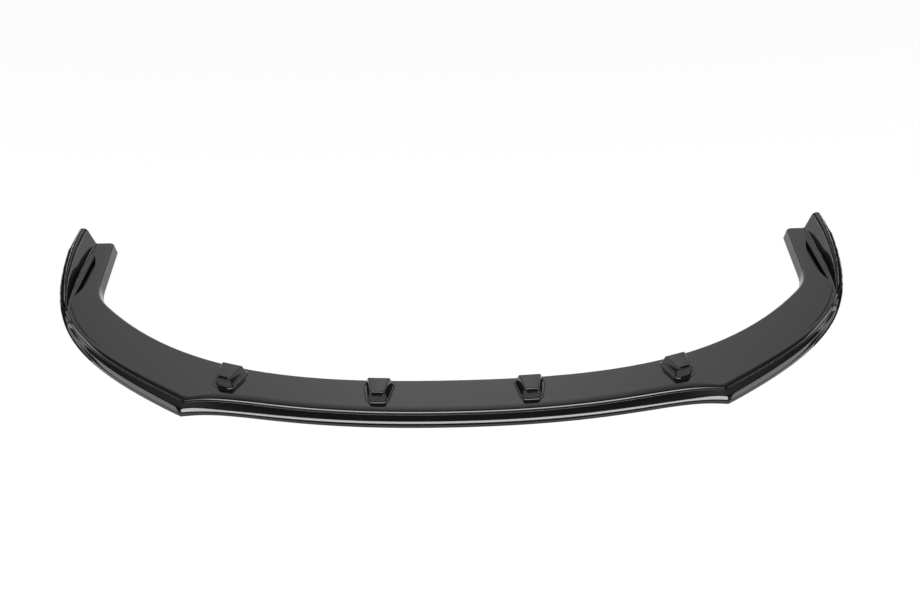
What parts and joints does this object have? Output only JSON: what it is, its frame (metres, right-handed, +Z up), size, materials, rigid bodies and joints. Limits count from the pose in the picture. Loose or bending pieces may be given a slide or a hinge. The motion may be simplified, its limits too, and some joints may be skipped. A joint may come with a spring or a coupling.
{
  "type": "front splitter lip",
  "caption": "Front splitter lip for a car bumper: one formed gloss black sheet with a stepped front edge, raised blocks behind it and upturned fins on the arm ends.",
  "frame": {"origin": "on the floor that the rim rests on, under the middle of the overall width and depth", "axes": "+X along the width, to the right of a viewer who faces the front edge; +Y back along the arms, away from the front edge; +Z up from the floor to the deck"},
  "size_m": [1.74, 0.608, 0.068],
  "materials": {
    "gloss_black_sheet": "polished gloss black ABS sheet"
  },
  "bodies": {
    "root": {"splitter_lip": "gloss_black_sheet"}
  },
  "joints": []
}
